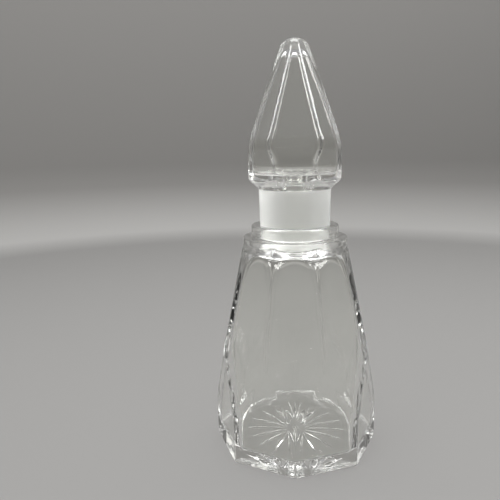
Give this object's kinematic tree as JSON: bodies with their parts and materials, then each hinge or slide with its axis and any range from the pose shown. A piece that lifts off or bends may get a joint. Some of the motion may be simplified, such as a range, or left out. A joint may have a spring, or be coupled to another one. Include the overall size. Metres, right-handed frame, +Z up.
{
  "type": "perfume bottle",
  "caption": "Tall clear cut-glass perfume bottle with tapering panels, a star-cut foot and a pointed faceted stopper on a frosted ground plug.",
  "frame": {"origin": "centre of the foot, on the surface the bottle stands on", "axes": "+Z up along the bottle's axis, -Y towards the front panel"},
  "size_m": [0.0682, 0.0682, 0.165],
  "materials": {
    "clear_glass": "polished, with a ground frosted plug"
  },
  "bodies": {
    "bottle": {"bottle": "clear_glass"},
    "stopper": {"stopper": "clear_glass"}
  },
  "joints": [
    {"name": "stopper_lift", "type": "slide", "parent": "bottle", "child": "stopper", "axis": [0, 0, 1], "range_m": [0, 0.035]}
  ]
}
